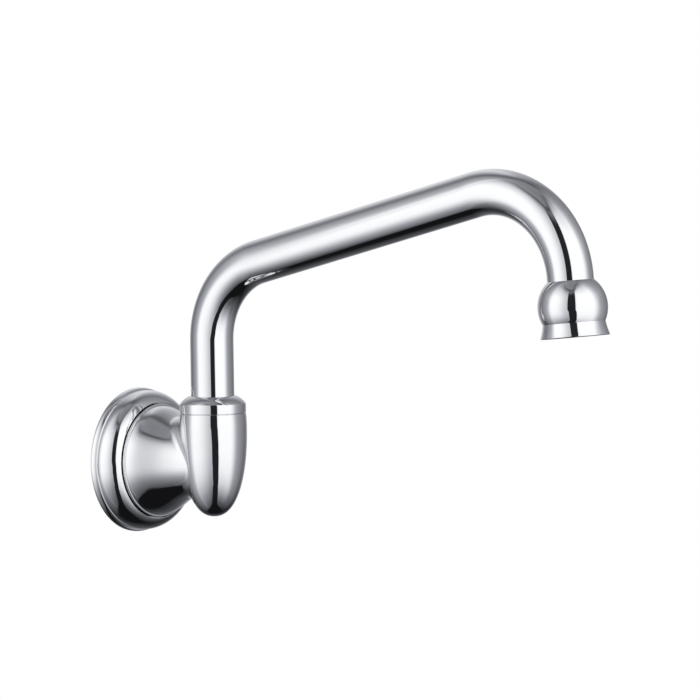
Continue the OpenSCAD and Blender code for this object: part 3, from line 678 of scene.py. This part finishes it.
def card(name, places, level):
    """A lit face of the tent: rows of (right, toward, z) points and the level of light at each."""
    rows, cols = places.shape[:2]
    flat = np.column_stack([places.reshape(-1, 3)[:, :2] @ np.stack([across, toward]), places[..., 2].ravel()])
    faces = [(i * cols + j, i * cols + j + 1, (i + 1) * cols + j + 1, (i + 1) * cols + j)
             for i in range(rows - 1) for j in range(cols - 1)]
    me = bpy.data.meshes.new(name)
    me.from_pydata(flat.tolist(), [], faces)
    level = level.ravel()
    cool = np.clip(1 - level / 1.1, 0, 1)
    tone = np.stack([level * (0.99 - 0.07 * cool), level * (1 - 0.05 * cool), level * (1.01 + 0.03 * cool),
                     np.ones(len(level))], -1)
    shown = me.attributes.new("level", "FLOAT_COLOR", "POINT")
    shown.data.foreach_set("color", tone.astype(np.float32).ravel())
    ob = bpy.data.objects.new(name, me)
    bpy.context.scene.collection.objects.link(ob)
    ob.data.materials.append(CARD)
    for flag in ("camera", "diffuse", "shadow", "volume_scatter"):
        setattr(ob, "visible_" + flag, False)


def bearings(places):
    """Bearing from the camera's side, turning right, and height angle of points seen from the heart."""
    d = places - heart
    return (np.degrees(np.arctan2(d[..., 0], d[..., 1])),
            np.degrees(np.arctan2(d[..., 2], np.hypot(d[..., 0], d[..., 1]))))


def soft(x, lo, hi):
    """A smooth step from 0 at lo to 1 at hi."""
    x = np.clip((x - lo) / (hi - lo), 0, 1)
    return x * x * (3 - 2 * x)


def gap(a, e):
    """Where the dark room shows between the two softboxes."""
    slant = np.interp(e, [-35, -11, -3], [5, 3.5, 0])
    return (a > -14.1 + slant) & (a < 10.2 + slant)


def stand(r, q):
    """The dark stand on the ground under the object, and the foot of the gap in front of it."""
    near_side = np.interp(q, [-0.22, -0.1, 0.01, 0.11, 0.21, 0.31, 0.9],
                          [-0.24, -0.22, -0.20, -0.17, -0.12, -0.07, -0.045])
    far_side = np.interp(q, [-0.22, -0.1, 0.05, 0.15, 0.25, 0.35, 0.6, 0.9],
                         [0.27, 0.29, 0.28, 0.25, 0.19, 0.17, 0.24, 0.31])
    blur = 0.02
    across_it = soft(r, near_side - blur, near_side + blur) * (1 - soft(r, far_side - blur, far_side + blur))
    return across_it * soft(q, -0.25, -0.19)


def light(a, e, shade):
    """Light of the tent by bearing and height: two softboxes, the shade between them, dim cloth behind."""
    left_box = np.interp(a, [-180, -160, -145, -131, -113, -98, -90, -84, -77, -66, -52, -38, -26, -14],
                         [0.74, 0.53, 0.29, 0.19, 0.33, 0.46, 0.65, 0.96, 1.19, 1.21, 1.15, 1.0, 0.80, 0.64])
    right_box = np.interp(a, [9, 14, 20, 60, 68, 76, 84, 92, 100, 112, 127, 141, 152, 165, 180],
                          [0.95, 1.15, 1.22, 1.22, 1.15, 0.94, 0.63, 0.45, 0.37, 0.31, 0.26, 0.20, 0.30, 0.45,
                           0.74])
    high = np.interp(e - np.where(a < 0, 0, 5), [0, 15, 25, 35, 45, 55, 65, 80],
                     [1, 1.03, 1.03, 0.97, 0.81, 0.63, 0.47, 0.35])
    high = np.where(abs(a) > 84, np.maximum(high, np.interp(e, [10, 25, 45, 65], [1, 1.2, 1.1, 0.9])), high)
    heights = [-75, -65, -55, -45, -35, -25, -15, 0]
    low_left = np.interp(e, heights, [0.060, 0.09, 0.19, 0.32, 0.54, 0.80, 0.95, 1])
    low_right = np.interp(e, heights, [0.055, 0.095, 0.22, 0.42, 0.69, 0.88, 0.96, 1])
    low_side = np.interp(e, heights, [0.075, 0.17, 0.32, 0.45, 0.70, 0.92, 1.0, 1])
    low_back = np.interp(e, heights, [0.024, 0.035, 0.07, 0.12, 0.16, 0.31, 0.72, 1])
    side, behind = soft(abs(a), 70, 95), soft(abs(a), 105, 150)
    low = np.where(a < 0, low_left, low_right) * (1 - side) + low_side * side
    low = low * (1 - behind) + low_back * behind
    level = np.where(a < 0, left_box, right_box) * low * high
    level = level * (1 - shade) + np.interp(e, [-70, -30, 36], [0.008, 0.018, 0.024]) * shade
    top = np.interp(a, [-180, -150, -128, -113, -98, -80, -40, 15, 50, 82, 97, 112, 127, 150, 180],
                    [0.14, 0.16, 0.18, 0.27, 0.39, 0.36, 0.30, 0.24, 0.27, 0.28, 0.24, 0.17, 0.13, 0.13, 0.14])
    zenith = soft(e, 74, 88)
    top = top * (1 - zenith) + 0.275 * zenith
    edge = np.interp(a, [-130, -110, -60, -45, -30, -15, -4, 8, 20, 30, 70, 110, 130],
                     [78, 74, 71, 65, 60, 57, 53, 57, 66, 71, 75, 76, 78])
    lid = soft(e, edge - 17, edge + 1)
    crease = np.interp(a, [-80, -40, -20, 5, 20, 50, 90], [0.05, 0.35, 0.6, 0.65, 0.4, 0.3, 0.1])
    return (level * (1 - lid) + top * lid) * (1 - crease * np.exp(-((e - edge) / 3.6) ** 2))


def tent():
    """The tent's walls, lid and ground, all lit by the one pattern, so that no seam shows between them."""
    (r0, r1), (q0, q1) = (-1.2, 0.99), (-1.05, 0.889)
    corners = np.array([(r0, q0), (r0, q1), (r1, q1), (r1, q0), (r0, q0)])
    foot = np.concatenate([np.linspace(p, q, int(np.linalg.norm(q - p) / 0.01))
                           for p, q in zip(corners[:-1], corners[1:])])
    walls = np.stack([np.column_stack([foot, np.full(len(foot), z)]) for z in np.linspace(FLOOR_Z, TOP_Z, 84)])
    card("tent_walls", walls, light(*bearings(walls), gap(*bearings(walls))))
    r, q = np.meshgrid(np.linspace(r0, r1, 110), np.linspace(q0, q1, 98))
    sheet = np.stack([r, q, np.full(r.shape, TOP_Z)], -1)
    card("tent_top", sheet, light(*bearings(sheet), gap(*bearings(sheet))))
    sheet = np.stack([r, q, np.full(r.shape, FLOOR_Z + 0.004)], -1)
    card("tent_ground", sheet, light(*bearings(sheet), stand(r, q)))


tent()

# the floor: pale, fading out far from the object, and clear from below
floor_r = 1.6
me = bpy.data.meshes.new("floor")
ring = [(0.136 + floor_r * math.cos(a), floor_r * math.sin(a), FLOOR_Z)
        for a in np.linspace(0, 2 * math.pi, 96, endpoint=False)]
me.from_pydata(ring, [], [list(range(96))])
floor = bpy.data.objects.new("floor", me)
bpy.context.scene.collection.objects.link(floor)
m, t, b = shader("floor", (0.9, 0.9, 0.9), 0.0, 0.9)
n = noise(t, 6, 3)
t.links.new(tint(t, n, (0.89, 0.89, 0.89), (0.91, 0.91, 0.91)), b.inputs["Base Color"])
co, length, fade = (t.nodes.new("ShaderNode" + k) for k in ("TexCoord", "VectorMath", "MapRange"))
length.operation = "LENGTH"
fade.inputs["From Min"].default_value, fade.inputs["From Max"].default_value = 0.5, 1.45
geo, either, clear, mix = (t.nodes.new("ShaderNode" + k)
                           for k in ("NewGeometry", "Math", "BsdfTransparent", "MixShader"))
either.operation = "MAXIMUM"
t.links.new(co.outputs["Object"], length.inputs[0])
t.links.new(length.outputs["Value"], fade.inputs["Value"])
t.links.new(fade.outputs["Result"], either.inputs[0])
t.links.new(geo.outputs["Backfacing"], either.inputs[1])
t.links.new(either.outputs["Value"], mix.inputs["Fac"])
t.links.new(b.outputs["BSDF"], mix.inputs[1])
t.links.new(clear.outputs["BSDF"], mix.inputs[2])
t.links.new(mix.outputs["Shader"], t.nodes["Material Output"].inputs["Surface"])
floor.data.materials.append(m)


def lamp(name, place, aim, width, power):
    """A soft square lamp for whatever isn't a mirror."""
    data = bpy.data.lights.new(name, "AREA")
    data.shape, data.size, data.energy = "SQUARE", width, power
    ob = bpy.data.objects.new(name, data)
    bpy.context.scene.collection.objects.link(ob)
    ob.location = place
    ob.rotation_euler = (Vector(aim) - Vector(place)).to_track_quat("-Z", "Y").to_euler()
    ob.visible_camera = ob.visible_glossy = False


middle = (0.13, 0, 0.05)
lamp("key", (-0.5, -1.3, 1.3), middle, 1.2, 14)
lamp("fill", (1.3, -0.5, 0.9), middle, 1.2, 7)

# a white world: full for the camera, mirrors and glass, and dimmer as light on the surfaces
world = bpy.data.worlds.new("studio")
bpy.context.scene.world = world
world.use_nodes = True
t = world.node_tree
bg = t.nodes["Background"]
bg.inputs["Color"].default_value = (1, 1, 1, 1)
path = t.nodes.new("ShaderNodeLightPath")
add1, add2, lift = (t.nodes.new("ShaderNodeMath") for _ in range(3))
add1.operation, add2.operation, lift.operation = "ADD", "ADD", "MULTIPLY_ADD"
add2.use_clamp = True
t.links.new(path.outputs["Is Camera Ray"], add1.inputs[0])
t.links.new(path.outputs["Is Glossy Ray"], add1.inputs[1])
t.links.new(add1.outputs["Value"], add2.inputs[0])
t.links.new(path.outputs["Is Transmission Ray"], add2.inputs[1])
t.links.new(add2.outputs["Value"], lift.inputs[0])
lift.inputs[1].default_value, lift.inputs[2].default_value = 0.45, 0.55
t.links.new(lift.outputs["Value"], bg.inputs["Strength"])
